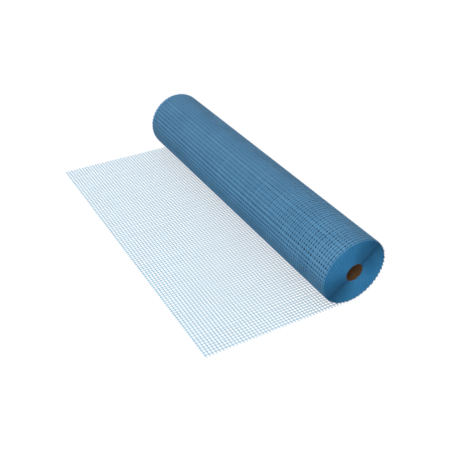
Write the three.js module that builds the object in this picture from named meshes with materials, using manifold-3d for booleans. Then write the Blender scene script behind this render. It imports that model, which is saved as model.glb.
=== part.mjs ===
// A roll of open fibreglass mesh, wound on a paperboard tube and lying on its side.
// The free end of the web leaves the bottom of the roll and lies flat on the floor.
// Millimetres, +Z up. The roll's axis runs along X and the free end reaches towards -Y.
// The origin is on the floor, under the middle of the whole object.

import * as THREE from 'three';
import { mergeVertices } from 'three/addons/utils/BufferGeometryUtils.js';
import Module from 'manifold-3d';

// Web
const WEB_WIDTH = 1000;
const WEB_THICKNESS = 0.6;
const FREE_END_LENGTH = 443;

// The free end's strands are gathered into plain bars, with as much of it open as in the real grid
const OPENINGS_ACROSS = 12;
const BAR_WIDTH = 12;

// Wound roll
const ROLL_DIAMETER = 201;

// The wound turns show on both ends as flat bands with a groove between each two
const BAND_WIDTH = 8;
const GROOVE_WIDTH = 2.4;
const GROOVE_DEPTH = 2;

// Paperboard tube
const TUBE_DIAMETER = 53;
const TUBE_WALL = 2;
const TUBE_CLEARANCE = 0.3;

// The tube is cut a little short, so that its ends lie just inside the web's edges
const TUBE_INSET = 1;

// Smoothness of the turned shapes, a multiple of 4 so that the quarter points are corners
const ROUND_SEGMENTS = 64;

// Places that follow from the sizes above
const rollRadius = ROLL_DIAMETER / 2;
const tubeRadius = TUBE_DIAMETER / 2;
const tubeLength = WEB_WIDTH - 2 * TUBE_INSET;
const boreRadius = tubeRadius + TUBE_CLEARANCE;
const rollAxisY = (FREE_END_LENGTH - rollRadius) / 2;

const wasm = await Module();
wasm.setup();

const webMaterial = new THREE.MeshStandardMaterial({ color: 0x5088b0, roughness: 0.6, metalness: 0 });
const tubeMaterial = new THREE.MeshStandardMaterial({ color: 0x7a4f2a, roughness: 0.85, metalness: 0 });

function toSolid(geometry) {
  const bare = geometry.clone();
  bare.deleteAttribute('normal');
  bare.deleteAttribute('uv');
  const merged = mergeVertices(bare, 1e-3);
  const vertProperties = new Float32Array(merged.attributes.position.array);
  const triVerts = new Uint32Array(merged.index.array);
  return new wasm.Manifold(new wasm.Mesh({ numProp: 3, vertProperties, triVerts }));
}

function toGeometry(solid) {
  const mesh = solid.getMesh();
  const geometry = new THREE.BufferGeometry();
  geometry.setAttribute('position', new THREE.BufferAttribute(mesh.vertProperties, 3));
  geometry.setIndex(new THREE.BufferAttribute(mesh.triVerts, 1));
  geometry.computeVertexNormals();
  return geometry;
}

// Turns a profile of (radius, place along the axis) points about the X axis
function turned(profile) {
  const geometry = new THREE.LatheGeometry(profile, ROUND_SEGMENTS);
  geometry.rotateZ(-Math.PI / 2);
  return geometry;
}

// One end of the roll, from the bore outwards: a band, a groove, a band and so on
function endProfile(depthFromMiddle, outwards) {
  const bandCount = Math.max(1, Math.round((rollRadius - boreRadius) / BAND_WIDTH));
  const bandPitch = (rollRadius - boreRadius) / bandCount;
  const points = [new THREE.Vector2(boreRadius, outwards * depthFromMiddle)];
  for (let band = 1; band < bandCount; band += 1) {
    const grooveRadius = boreRadius + band * bandPitch;
    const lip = outwards * depthFromMiddle;
    points.push(new THREE.Vector2(grooveRadius - GROOVE_WIDTH / 2, lip));
    points.push(new THREE.Vector2(grooveRadius, lip - outwards * GROOVE_DEPTH));
    points.push(new THREE.Vector2(grooveRadius + GROOVE_WIDTH / 2, lip));
  }
  points.push(new THREE.Vector2(rollRadius, outwards * depthFromMiddle));
  return points;
}

function woundRoll() {
  const lowEnd = endProfile(WEB_WIDTH / 2, -1);
  const highEnd = endProfile(WEB_WIDTH / 2, 1).reverse();
  const profile = [...lowEnd, ...highEnd, lowEnd[0].clone()];
  return turned(profile).translate(0, rollAxisY, rollRadius);
}

function slab(left, front, width, length, height) {
  const box = new THREE.BoxGeometry(width, length, height);
  return toSolid(box.translate(left + width / 2, front + length / 2, WEB_THICKNESS / 2));
}

// The free end is a flat grid: rows of openings, with a bar between them and along each edge
function freeEnd() {
  const columnPitch = (WEB_WIDTH - BAR_WIDTH) / OPENINGS_ACROSS;
  const rows = Math.max(1, Math.round((FREE_END_LENGTH - BAR_WIDTH) / columnPitch));
  const rowPitch = (FREE_END_LENGTH - BAR_WIDTH) / rows;
  const left = -WEB_WIDTH / 2;
  const front = rollAxisY - FREE_END_LENGTH;
  let grid = slab(left, front, WEB_WIDTH, FREE_END_LENGTH, WEB_THICKNESS);
  for (let row = 0; row < rows; row += 1) {
    for (let column = 0; column < OPENINGS_ACROSS; column += 1) {
      const openingLeft = left + BAR_WIDTH + column * columnPitch;
      const openingFront = front + BAR_WIDTH + row * rowPitch;
      const width = columnPitch - BAR_WIDTH;
      const length = rowPitch - BAR_WIDTH;
      grid = grid.subtract(slab(openingLeft, openingFront, width, length, WEB_THICKNESS * 3));
    }
  }
  return grid;
}

// The web is one piece: its wound turns and its free end are joined under the roll
function meshWeb() {
  const web = toSolid(woundRoll()).add(freeEnd());
  const mesh = new THREE.Mesh(toGeometry(web), webMaterial);
  mesh.name = 'mesh_web';
  return mesh;
}

function coreTube() {
  const inner = tubeRadius - TUBE_WALL;
  const profile = [
    new THREE.Vector2(inner, -tubeLength / 2),
    new THREE.Vector2(tubeRadius, -tubeLength / 2),
    new THREE.Vector2(tubeRadius, tubeLength / 2),
    new THREE.Vector2(inner, tubeLength / 2),
    new THREE.Vector2(inner, -tubeLength / 2),
  ];
  const mesh = new THREE.Mesh(turned(profile), tubeMaterial);
  mesh.name = 'core_tube';
  mesh.position.set(0, rollAxisY, rollRadius);
  return mesh;
}

const roll = new THREE.Group();
roll.name = 'roll_of_fibreglass_mesh';
roll.add(meshWeb(), coreTube());

export default roll;
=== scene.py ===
import math

import bpy
import numpy as np
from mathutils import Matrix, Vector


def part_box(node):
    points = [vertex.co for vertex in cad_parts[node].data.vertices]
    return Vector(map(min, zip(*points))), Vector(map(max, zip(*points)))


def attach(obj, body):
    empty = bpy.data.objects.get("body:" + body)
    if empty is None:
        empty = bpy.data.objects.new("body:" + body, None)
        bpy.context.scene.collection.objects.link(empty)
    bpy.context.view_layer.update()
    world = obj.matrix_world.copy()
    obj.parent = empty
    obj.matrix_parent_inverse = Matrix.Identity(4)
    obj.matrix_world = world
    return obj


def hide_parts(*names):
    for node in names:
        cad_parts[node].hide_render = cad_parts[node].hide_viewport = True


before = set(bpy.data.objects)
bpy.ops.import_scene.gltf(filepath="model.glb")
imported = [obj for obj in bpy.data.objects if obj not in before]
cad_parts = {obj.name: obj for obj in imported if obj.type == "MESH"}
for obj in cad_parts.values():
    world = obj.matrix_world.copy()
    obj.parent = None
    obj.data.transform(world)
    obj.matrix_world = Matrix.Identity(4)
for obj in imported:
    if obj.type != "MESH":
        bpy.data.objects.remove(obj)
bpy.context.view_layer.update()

# Core tube
# The brown paperboard tube that the web is wound on, glued up from narrow strips in a spiral.
# Its cut ends lie just inside the web's edges. As rolled paper it is matt and a little fibrous.

TUBE_SIDES = 128
TUBE_WALL = 0.002
TUBE_RIM = 0.0003
TUBE_SMOOTHING = math.radians(40)
STRIP_PITCH = 0.11
SEAM_SHARE = 0.02
PAPER_STRETCH = (1, 4, 4)
PAPER_FIBRES = 220
PAPER_CLOUDS = 30
PAPER_BUMP = 0.0004
MIDDLE_TONES = (0.3, 0.7)
PAPER_BROWN = (0.055, 0.026, 0.008, 1)
PAPER_PALE = (0.10, 0.05, 0.017, 1)

tube_low, tube_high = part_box("core_tube")
web_low, web_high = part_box("mesh_web")
roll_radius = (web_high[2] - web_low[2]) / 2
roll_y = web_high[1] - roll_radius
roll_z = web_low[2] + roll_radius
tube_radius = (tube_high[1] - tube_low[1]) / 2
tube_length = tube_high[0] - tube_low[0]


class Value:
    """A number that changes over a surface: the output of a shader node."""

    def __init__(self, finish, socket):
        self.finish = finish
        self.socket = socket

    def maths(self, operation, first, second):
        return self.finish.node("ShaderNodeMath", {"operation": operation}, {0: first, 1: second})

    def __add__(self, other):
        return self.maths("ADD", self, other)

    __radd__ = __add__

    def __mul__(self, other):
        return self.maths("MULTIPLY", self, other)

    __rmul__ = __mul__

    def __sub__(self, other):
        return self.maths("SUBTRACT", self, other)

    def __rsub__(self, other):
        return self.maths("SUBTRACT", other, self)

    def __truediv__(self, other):
        return self.maths("DIVIDE", self, other)


class Finish:
    """One material, whose nodes are added by the node method."""

    def __init__(self, name, roughness, specular=0.5):
        self.material = bpy.data.materials.new(name)
        self.material.use_nodes = True
        self.nodes = self.material.node_tree.nodes
        self.links = self.material.node_tree.links
        self.shader = self.nodes["Principled BSDF"]
        self.shader.inputs["Roughness"].default_value = roughness
        self.shader.inputs["Specular IOR Level"].default_value = specular

    def feed(self, socket, value):
        if isinstance(value, Value):
            self.links.new(value.socket, socket)
        else:
            socket.default_value = value

    def node(self, kind, settings, sockets, output=0):
        node = self.nodes.new(kind)
        for name, setting in settings.items():
            setattr(node, name, setting)
        for name, value in sockets.items():
            self.feed(node.inputs[name], value)
        return Value(self, node.outputs[output])

    def place(self, middle=(0, 0, 0), stretch=(1, 1, 1)):
        """Object coordinates, counted from a middle and then stretched."""
        where = self.node("ShaderNodeTexCoord", {}, {}, "Object")
        moved = self.node("ShaderNodeVectorMath", {"operation": "SUBTRACT"}, {0: where, 1: middle})
        return self.node("ShaderNodeVectorMath", {"operation": "MULTIPLY"}, {0: moved, 1: stretch})

    def parts(self, vector):
        """The three numbers of a vector."""
        return [self.node("ShaderNodeSeparateXYZ", {}, {0: vector}, axis) for axis in "XYZ"]

    def noise(self, where, scale, detail=3):
        sockets = {"Vector": where, "Scale": scale, "Detail": detail}
        return self.node("ShaderNodeTexNoise", {}, sockets)

    def ramp(self, value, low, high):
        """0 below low, 1 above high, and smooth between."""
        settings = {"interpolation_type": "SMOOTHSTEP"}
        sockets = {"Value": value, "From Min": low, "From Max": high}
        return self.node("ShaderNodeMapRange", settings, sockets)

    def blend(self, share, first, second):
        settings = {"data_type": "RGBA"}
        return self.node("ShaderNodeMix", settings, {"Factor": share, 6: first, 7: second}, 2)

    def colour(self, value):
        self.feed(self.shader.inputs["Base Color"], value)

    def bump(self, height, distance, strength=1.0):
        sockets = {"Height": height, "Distance": distance, "Strength": strength}
        self.feed(self.shader.inputs["Normal"], self.node("ShaderNodeBump", {}, sockets))


def paperboard():
    finish = Finish("brown paperboard", roughness=0.85, specular=0.25)
    around = finish.place(middle=(0, roll_y, roll_z))
    x, y, z = finish.parts(around)
    angle = finish.node("ShaderNodeMath", {"operation": "ARCTAN2"}, {0: z, 1: y}) / (2 * math.pi)
    across_strip = finish.node("ShaderNodeMath", {"operation": "FRACT"}, {0: x / STRIP_PITCH + angle})
    seam = finish.ramp(across_strip, 0, SEAM_SHARE) * finish.ramp(1 - across_strip, 0, SEAM_SHARE)
    fibres = finish.noise(finish.place(stretch=PAPER_STRETCH), PAPER_FIBRES, 4)
    cloudy = finish.noise(around, PAPER_CLOUDS)
    paleness = finish.ramp(fibres * 0.6 + cloudy * 0.4, *MIDDLE_TONES)
    finish.colour(finish.blend(paleness * seam, PAPER_BROWN, PAPER_PALE))
    finish.bump(fibres * 0.3 + seam, PAPER_BUMP)
    return finish.material


def deselect():
    bpy.ops.object.select_all(action="DESELECT")


def apply_place():
    bpy.ops.object.transform_apply(location=True, rotation=True, scale=True)


def add_modifier(piece, kind, **settings):
    """Adds a modifier to a piece and applies it."""
    bpy.context.view_layer.objects.active = piece
    modifier = piece.modifiers.new(kind.lower(), kind)
    for name, setting in settings.items():
        setattr(modifier, name, setting)
    bpy.ops.object.modifier_apply(modifier=modifier.name)


def round_wall(name, radius, wall, length):
    """A hollow cylinder along the roll's axis, with a wall that goes inwards from its radius."""
    deselect()
    bpy.ops.mesh.primitive_cylinder_add(
        vertices=TUBE_SIDES,
        radius=radius,
        depth=length,
        end_fill_type="NOTHING",
        location=(0, roll_y, roll_z),
        rotation=(0, math.pi / 2, 0),
    )
    piece = bpy.context.object
    piece.name = name
    apply_place()
    add_modifier(piece, "SOLIDIFY", thickness=wall, offset=-1)
    return piece


core_tube = round_wall("paperboard_tube", tube_radius, TUBE_WALL, tube_length)
add_modifier(core_tube, "BEVEL", width=TUBE_RIM, segments=2, limit_method="ANGLE")
bpy.ops.object.shade_smooth_by_angle(angle=TUBE_SMOOTHING)
core_tube.data.materials.append(paperboard())
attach(core_tube, "root")
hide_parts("core_tube")

# Deep turns
# The turns of mesh deep inside the roll, seen only as shade through the open turns above them.
# They are made as one hollow body, and its stripes are the strands that lie there. Its colours are
# painted shade: near-black for the blue coat deep in the roll, a little less dark on the strands.
# Towards its two ends it is painted a lighter mid-blue, as painted light that reaches in there.

WEB_PITCH = 0.0006
OPEN_TURNS = 6
WARPS = 111
WEFTS_PER_TURN = 50
BODY_GAP = 0.0002
END_DEPTH = 0.0035

# Its stripes are hoops for the warps and bars for the wefts, with soft edges
HOOP_FADE = (0.0012, 0.0006)
BARS_PER_WEFT = 3
BAR_FADE = (0.8, 0.4)
BAR_SHARE = 0.6
# Painted shade and light: the body is near-black, its strands a little less dark, and towards its
# ends it fades to a mid-blue of painted light
END_LIGHT_FADE = (0.004, 0.001)
DEEP_BUMP = 0.0008
DEEP_PAINTED_SHADE = (0.001, 0.008, 0.022, 1)
DEEP_STRAND_PAINTED_SHADE = (0.010, 0.055, 0.12, 1)
DEEP_END_PAINTED_LIGHT = (0.02, 0.13, 0.27, 1)

web_width = web_high[0] - web_low[0]
warp_pitch = web_width / (WARPS + 1)
body_radius = roll_radius - OPEN_TURNS * WEB_PITCH - BODY_GAP
body_length = web_width - 2 * END_DEPTH
bore_radius = tube_radius + BODY_GAP


def deep_strands_in_painted_shade():
    finish = Finish("strands deep in the roll, in painted shade", roughness=0.6, specular=0.3)
    around = finish.place(middle=(0, roll_y, roll_z))
    x, y, z = finish.parts(around)
    beside_warp = finish.node("ShaderNodeMath", {"operation": "PINGPONG"}, {0: x, 1: warp_pitch / 2})
    hoop = finish.ramp(beside_warp, *HOOP_FADE)
    angle = finish.node("ShaderNodeMath", {"operation": "ARCTAN2"}, {0: z, 1: y}) + 2 * math.pi
    step = math.pi / WEFTS_PER_TURN / BARS_PER_WEFT
    beside_weft = finish.node("ShaderNodeMath", {"operation": "PINGPONG"}, {0: angle, 1: step})
    bar = finish.ramp(beside_weft, step * BAR_FADE[0], step * BAR_FADE[1])
    bars = bar * BAR_SHARE
    strands = finish.node("ShaderNodeMath", {"operation": "MAXIMUM"}, {0: hoop, 1: bars})
    past_middle = finish.node("ShaderNodeMath", {"operation": "ABSOLUTE"}, {0: x})
    half = body_length / 2
    # Towards the body's ends the painted shade gives way to painted light
    end_painted_light = finish.ramp(past_middle, half - END_LIGHT_FADE[0], half - END_LIGHT_FADE[1])
    shaded_stripes = finish.blend(strands, DEEP_PAINTED_SHADE, DEEP_STRAND_PAINTED_SHADE)
    finish.colour(finish.blend(end_painted_light, shaded_stripes, DEEP_END_PAINTED_LIGHT))
    finish.bump(strands, DEEP_BUMP)
    return finish.material


deep_turns = round_wall("deep_turns", body_radius, body_radius - bore_radius, body_length)
bpy.ops.object.shade_smooth_by_angle(angle=TUBE_SMOOTHING)
deep_turns.data.materials.append(deep_strands_in_painted_shade())
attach(deep_turns, "root")

# Outer turns
# The web itself: glass strands in a blue polymer coat, long ones (warps) crossed by short ones
# (wefts) and fused where they cross. It is made flat, as it comes off the loom, and then wound.
# The outermost turn is a piece of its own, and the open turns under it are another.

STRAND_WIDTH = 0.002
UNDER_WIDTH = 0.0017
STRAND_THICKNESS = 0.00046
WARP_HEIGHT = 0.00024
WEFT_HEIGHT = 0.00034
CRIMP = 0.00004
COAT_BLUE = (0.057, 0.193, 0.345, 1)
COAT_LIGHT = (0.083, 0.242, 0.42, 1)
# The outermost warps are painted lighter than the same coat below them, as painted light on the top
# turn
OUTER_PAINTED_LIGHT = (0.11, 0.305, 0.51, 1)

# The coat's fine lines, in waves for each metre, and its paler and darker patches
FIBRES_ALONG = 60
FIBRES_ACROSS = 4000
COAT_CLOUDS = 14
COAT_BUMP = 0.0001

STRAND_SMOOTHING = math.radians(60)
MERGE_DISTANCE = 1e-6

# No two turns lie in line. From one to the next, wefts slip round the roll by a share of their
# spacing and warps slip sideways, while single warps and rows of wefts stray by chance.
WARP_WANDER = 0.0005
WEFT_DRIFT = 0.03
WEFT_SPREAD = 0.5
WEFT_STEP = 0.618
SIDE_SPREAD = 0.35
SIDE_STEP = 0.755
SETTLING = 0.1
STRAIGHT_EDGE = 0.012
ROW_WANDER = 0.1

wound_weft_pitch = 2 * math.pi * roll_radius / WEFTS_PER_TURN
turn_length = WEFTS_PER_TURN * wound_weft_pitch
chance = np.random.default_rng(7)
wander = chance.normal(0, WARP_WANDER, WARPS)
row_wander = chance.normal(0, ROW_WANDER, WEFTS_PER_TURN)


def coated_glass(name, along, blue=COAT_BLUE, light=COAT_LIGHT):
    """The coat of strands that run along one axis of the flat web: 0 is across, 1 is along."""
    finish = Finish(name, roughness=0.55, specular=0.25)
    flat = finish.node("ShaderNodeUVMap", {"uv_map": "UVMap"}, {})
    stretch = [FIBRES_ACROSS, FIBRES_ACROSS, 1]
    stretch[along] = FIBRES_ALONG
    drawn = finish.node("ShaderNodeVectorMath", {"operation": "MULTIPLY"}, {0: flat, 1: stretch})
    fibres = finish.noise(drawn, 1, 2)
    cloudy = finish.noise(finish.place(), COAT_CLOUDS, 2)
    paleness = finish.ramp(fibres * 0.5 + cloudy * 0.5, *MIDDLE_TONES)
    finish.colour(finish.blend(paleness, blue, light))
    finish.bump(fibres, COAT_BUMP, 0.6)
    return finish.material


warp_coat = coated_glass("blue coat on warps", 1)
weft_coat = coated_glass("blue coat on wefts", 0)
# Painted light: the outermost warps get the coat's paler tone and a still lighter one
outer_warp_coat_painted_lit = coated_glass("blue coat on the outermost warps, painted lighter", 1, COAT_LIGHT, OUTER_PAINTED_LIGHT)


def repeat(piece, count, offset, merged=False):
    """Lays copies of a piece one after another, joined where they touch if they are merged."""
    add_modifier(
        piece,
        "ARRAY",
        count=count,
        use_relative_offset=False,
        use_constant_offset=True,
        constant_offset_displace=offset,
        use_merge_vertices=merged,
        merge_threshold=MERGE_DISTANCE,
    )


def straight_strand(coat, step, steps, sides, width=STRAND_WIDTH, thickness=STRAND_THICKNESS):
    """One strand along +Y from the origin, closed at both ends, with corners at every step."""
    deselect()
    bpy.ops.mesh.primitive_cylinder_add(
        vertices=sides,
        radius=0.5,
        depth=step,
        end_fill_type="NOTHING",
        location=(0, step / 2, 0),
        rotation=(-math.pi / 2, 0, 0),
        scale=(width, thickness, 1),
    )
    strand = bpy.context.object
    apply_place()
    strand.data.materials.append(coat)
    repeat(strand, steps, (0, step, 0), merged=True)
    bpy.ops.object.mode_set(mode="EDIT")
    bpy.ops.mesh.select_all(action="DESELECT")
    bpy.ops.mesh.select_mode(type="EDGE")
    bpy.ops.mesh.select_non_manifold()
    bpy.ops.mesh.fill_holes(sides=0)
    bpy.ops.object.mode_set(mode="OBJECT")
    return strand


def points_of(piece):
    places = np.empty(3 * len(piece.data.vertices))
    piece.data.vertices.foreach_get("co", places)
    return places.reshape(-1, 3)


def move_points(piece, places):
    piece.data.vertices.foreach_set("co", places.ravel())
    piece.data.update()


def warps(start, weft_pitch, wefts, sides, steps_per_weft, coat=warp_coat, width=STRAND_WIDTH):
    """All the long strands of a stretch of web, side by side."""
    strand = straight_strand(coat, weft_pitch / steps_per_weft, wefts * steps_per_weft, sides, width)
    places = points_of(strand)
    places[:, 2] += WARP_HEIGHT + CRIMP * np.cos(2 * math.pi * places[:, 1] / weft_pitch)
    places += (web_low[0] + warp_pitch, start, 0)
    move_points(strand, places)
    repeat(strand, WARPS, (warp_pitch, 0, 0))
    places = points_of(strand)
    number = np.rint((places[:, 0] - web_low[0]) / warp_pitch).astype(int) - 1
    places[:, 0] += wander[number]
    move_points(strand, places)
    return strand


def wefts(start, weft_pitch, count, sides, steps_per_warp, coat=weft_coat, width=STRAND_WIDTH):
    """All the short strands of a stretch of web, one after another, each past both edges."""
    steps = (WARPS + 1) * steps_per_warp if steps_per_warp else 1
    strand = straight_strand(coat, web_width / steps, steps, sides, width)
    places = points_of(strand)[:, [1, 0, 2]]
    places[:, 2] += WEFT_HEIGHT - CRIMP * np.cos(2 * math.pi * places[:, 0] / warp_pitch)
    places += (web_low[0], start + weft_pitch / 2, 0)
    move_points(strand, places)
    strand.data.flip_normals()
    repeat(strand, count, (0, weft_pitch, 0))
    return strand


def joined(name, strands):
    """Joins strands of flat web into one piece, and keeps their flat places as the piece's UV map."""
    deselect()
    for strand in strands:
        strand.select_set(True)
    bpy.context.view_layer.objects.active = strands[0]
    bpy.ops.object.join()
    web = bpy.context.object
    web.name = name
    corners = np.empty(len(web.data.loops), int)
    web.data.loops.foreach_get("vertex_index", corners)
    web.data.uv_layers["UVMap"].data.foreach_set("uv", points_of(web)[corners, :2].ravel())
    bpy.ops.object.shade_smooth_by_angle(angle=STRAND_SMOOTHING)
    return web


def aside(turn, step):
    """How far a turn lies aside of the first, from 0 to 1, changing smoothly at its end."""
    number = np.floor(turn)
    here = number * step % 1
    there = (number + 1) * step % 1
    late = np.clip((turn - number - 1 + SETTLING) / SETTLING, 0, 1)
    return here + (there - here) * late**2 * (3 - 2 * late)


def wind(web):
    """Winds a flat web, whose second coordinate is its length from where it leaves the floor.

    Wefts slip round and warps slip sideways a little from turn to turn, but not at the edges.
    """
    x, length, height = points_of(web).T
    turn = length / turn_length
    radius = roll_radius - WEB_PITCH * turn - height
    slipped = WEFT_DRIFT * turn + WEFT_SPREAD * aside(turn, WEFT_STEP)
    rows = np.arange(WEFTS_PER_TURN)
    slipped += np.interp(turn * WEFTS_PER_TURN, rows, row_wander, period=WEFTS_PER_TURN)
    angle = 2 * math.pi * (turn + slipped / WEFTS_PER_TURN)
    from_edge = np.minimum(x - web_low[0], web_high[0] - x)
    slack = np.clip(from_edge / STRAIGHT_EDGE, 0, 1) ** 2
    sideways = SIDE_SPREAD * warp_pitch * aside(turn, SIDE_STEP) * slack
    y = roll_y + radius * np.sin(angle)
    z = roll_z - radius * np.cos(angle)
    move_points(web, np.stack([x + sideways, y, z], 1))


outer_turn = joined(
    "outer_turn",
    [
        warps(0, wound_weft_pitch, WEFTS_PER_TURN, sides=4, steps_per_weft=2, coat=outer_warp_coat_painted_lit),
        wefts(0, wound_weft_pitch, WEFTS_PER_TURN, sides=4, steps_per_warp=2),
    ],
)
wind(outer_turn)
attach(outer_turn, "root")
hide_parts("mesh_web")

under_wefts = (OPEN_TURNS - 1) * WEFTS_PER_TURN
under_web = {"start": turn_length, "weft_pitch": wound_weft_pitch, "sides": 3, "width": UNDER_WIDTH}
under_turns = joined(
    "under_turns",
    [
        warps(wefts=under_wefts, steps_per_weft=1, **under_web),
        wefts(count=under_wefts, steps_per_warp=0, **under_web),
    ],
)
wind(under_turns)
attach(under_turns, "root")
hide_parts("mesh_web")

# Ends of the roll
# On both ends the edge of every turn of mesh shows as a fine spiral, down to the tube.
# It is a thin flat band, and the cut tips of the wefts stand out from it a little.

# The ends' bands and cut wefts are a more saturated blue than the same coat on the turns: painted
# light, for light bounced between the end's packed strands
EDGE_BOUNCE_BLUE = (0.033, 0.215, 0.44, 1)
EDGE_BOUNCE_LIGHT = (0.055, 0.275, 0.515, 1)
EDGE_WIDTH = 0.002
EDGE_THICKNESS = 0.00022
EDGE_INSET = 0.0012
STUB_LENGTH = 0.004
COVERED_TURNS = 3
UNEVENNESS = 0.0007
UNEVEN_TURNS = 9.3

# Both coats of the ends carry painted bounced light
edge_band_coat_painted_bounce = coated_glass("blue coat on edge bands, with painted bounced light", 1, EDGE_BOUNCE_BLUE, EDGE_BOUNCE_LIGHT)
cut_weft_coat_painted_bounce = coated_glass("blue coat on cut wefts, with painted bounced light", 0, EDGE_BOUNCE_BLUE, EDGE_BOUNCE_LIGHT)
all_turns = int((roll_radius - bore_radius) / WEB_PITCH)
band_steps = (all_turns - COVERED_TURNS) * WEFTS_PER_TURN * 2
band_start = COVERED_TURNS * turn_length
stub_wefts = (all_turns - OPEN_TURNS) * WEFTS_PER_TURN
stub_start = OPEN_TURNS * turn_length


def roll_end(name, end_x, inwards):
    """The edge of the web on one end of the roll, where inwards is the way to the other end.

    The band starts as a square rod 1 m across, standing on a corner, and is turned flat and
    thinned to a strip.
    """
    half_pitch = wound_weft_pitch / 2
    band = straight_strand(edge_band_coat_painted_bounce, half_pitch, band_steps, sides=4, width=1, thickness=1)
    x, y, z = points_of(band).T
    flat = np.stack([(x + z) * EDGE_WIDTH, y, (z - x) * EDGE_THICKNESS], 1)
    flat += (end_x + inwards * (EDGE_INSET + EDGE_WIDTH / 2), band_start, WARP_HEIGHT)
    move_points(band, flat)
    stub = straight_strand(cut_weft_coat_painted_bounce, STUB_LENGTH, 1, sides=4, thickness=EDGE_THICKNESS)
    places = points_of(stub)[:, [1, 0, 2]]
    places += (end_x - STUB_LENGTH * (inwards < 0), stub_start + half_pitch, WEFT_HEIGHT)
    move_points(stub, places)
    stub.data.flip_normals()
    repeat(stub, stub_wefts, (0, wound_weft_pitch, 0))
    end = joined(name, [band, stub])
    places = points_of(end)
    turn = places[:, 1] / turn_length
    places[:, 0] += inwards * UNEVENNESS * (0.5 - 0.5 * np.cos(2 * math.pi * turn / UNEVEN_TURNS))
    move_points(end, places)
    wind(end)
    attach(end, "root")
    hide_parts("mesh_web")


roll_end("near_end_turns", web_high[0], -1)
roll_end("far_end_turns", web_low[0], 1)

# Free end
# The unrolled end of the same web, lying flat on the floor in front of the roll.
# It is an open grid with cut strand ends along three sides. Its coat is painted paler than on the
# roll, as painted light that stands in for the white floor shining through its thin strands.

FREE_WEFTS = 45
# Painted light: the same coat as on the roll, made paler for the white floor shining through the
# strands
FREE_BLUE_PAINTED_LIT = (0.12, 0.34, 0.515, 1)
FREE_PALE_PAINTED_LIT = (0.165, 0.43, 0.61, 1)

# A strand's upper side has a little more surface than its flat width, because it bulges
BULGE = 1.05

free_warp_coat_painted_lit = coated_glass("coat on free warps, painted paler by floor light", 1, FREE_BLUE_PAINTED_LIT, FREE_PALE_PAINTED_LIT)
free_weft_coat_painted_lit = coated_glass("coat on free wefts, painted paler by floor light", 0, FREE_BLUE_PAINTED_LIT, FREE_PALE_PAINTED_LIT)
free_length = roll_y - web_low[1]
free_pitch = free_length / FREE_WEFTS
free_end = joined(
    "free_end",
    [
        warps(-free_length, free_pitch, FREE_WEFTS, sides=4, steps_per_weft=2, coat=free_warp_coat_painted_lit),
        wefts(-free_length, free_pitch, FREE_WEFTS, sides=4, steps_per_warp=2, coat=free_weft_coat_painted_lit),
    ],
)
move_points(free_end, points_of(free_end) + (0, roll_y, 0))
strand_length = WARPS * free_length + FREE_WEFTS * web_width
strand_area = strand_length * STRAND_WIDTH * BULGE
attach(free_end, "root")
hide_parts("mesh_web")

# Floor
# A plain white studio floor, far larger than the view and just under the object.
# It glows, so that it stays as white as the background, but it doesn't light the object.

FLOOR_SIZE = 60
FLOOR_DROP = 0.0002
FLOOR_WHITE = (0.12, 0.12, 0.12, 1)
FLOOR_GLOW = 0.9


def studio_floor():
    finish = Finish("white studio floor", roughness=0.9, specular=0.0)
    finish.colour(FLOOR_WHITE)
    finish.shader.inputs["Emission Color"].default_value = (1, 1, 1, 1)
    finish.shader.inputs["Emission Strength"].default_value = FLOOR_GLOW
    return finish.material


deselect()
bpy.ops.mesh.primitive_plane_add(size=FLOOR_SIZE, location=(0, 0, -FLOOR_DROP))
floor = bpy.context.object
floor.name = "floor"
apply_place()
floor.data.materials.append(studio_floor())
floor.visible_diffuse = False
floor.visible_glossy = False

# Light
# A white room that is dimmer below the floor's level, and dark there beyond the near end.
# One large soft lamp stands far off, on the side of the free end.

ROOM_WHITE = (1.0, 1.0, 1.0, 1)
ROOM_BELOW = (0.75, 0.75, 0.75, 1)
ROOM_BEYOND = (0.15, 0.15, 0.15, 1)
BEYOND_FADE = (0.1, 0.5)
LEVEL_FADE = (-0.05, 0.05)
LAMP_POWER = 400
LAMP_SIZE = 5
LAMP_PLACE = (4.7, -6.6, 4.0)

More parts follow.
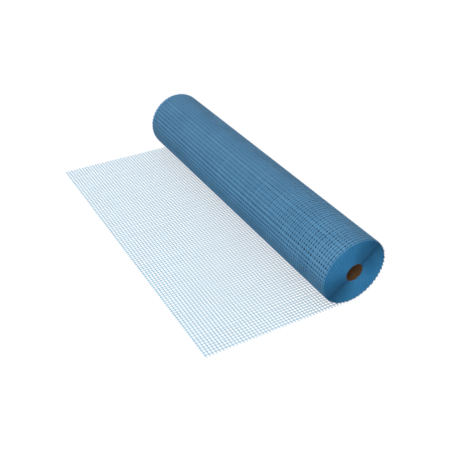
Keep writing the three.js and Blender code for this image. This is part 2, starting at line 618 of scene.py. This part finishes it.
world = bpy.data.worlds.new("white room")
bpy.context.scene.world = world
world.use_nodes = True
room = world.node_tree.nodes
links = world.node_tree.links
direction = room.new("ShaderNodeTexCoord")
axes = room.new("ShaderNodeSeparateXYZ")
links.new(direction.outputs["Generated"], axes.inputs[0])


def room_mix(axis, low, high, first, second):
    """One shade of the room towards the low side of an axis, and another towards its high side."""
    share = room.new("ShaderNodeMapRange")
    share.inputs["From Min"].default_value = low
    share.inputs["From Max"].default_value = high
    links.new(axes.outputs[axis], share.inputs["Value"])
    mix = room.new("ShaderNodeMix")
    mix.data_type = "RGBA"
    mix.inputs[7].default_value = second
    if isinstance(first, tuple):
        mix.inputs[6].default_value = first
    else:
        links.new(first, mix.inputs[6])
    links.new(share.outputs[0], mix.inputs["Factor"])
    return mix.outputs[2]


below = room_mix("X", *BEYOND_FADE, ROOM_BELOW, ROOM_BEYOND)
shade = room_mix("Z", *LEVEL_FADE, below, ROOM_WHITE)
links.new(shade, room["Background"].inputs["Color"])
deselect()
bpy.ops.object.light_add(type="AREA", location=LAMP_PLACE)
lamp = bpy.context.object
lamp.data.energy = LAMP_POWER
lamp.data.size = LAMP_SIZE
lamp.rotation_euler = Vector(LAMP_PLACE).to_track_quat("Z", "Y").to_euler()

# Camera
# It looks down on the near end of the roll from the side of the free end, as in the photograph.
# Its place and its focal length were fitted to the outline of the roll and of the free end.

PICTURE_PX = 450
FOCAL_PX = 658.63
CENTRE_PX = (178.38, 243.83)
CAMERA_PLACE = (1.4577, -0.8485, 1.1867)
CAMERA_AZIMUTH = 62.297
CAMERA_ELEVATION = 36.890
SENSOR = 36

deselect()
bpy.ops.object.camera_add(
    location=CAMERA_PLACE,
    rotation=(math.radians(90 - CAMERA_ELEVATION), 0, math.radians(CAMERA_AZIMUTH)),
)
camera = bpy.context.object
camera.data.sensor_width = SENSOR
camera.data.lens = FOCAL_PX * SENSOR / PICTURE_PX
camera.data.shift_x = 0.5 - CENTRE_PX[0] / PICTURE_PX
camera.data.shift_y = CENTRE_PX[1] / PICTURE_PX - 0.5
bpy.context.scene.camera = camera
bpy.context.scene.view_settings.view_transform = "Standard"
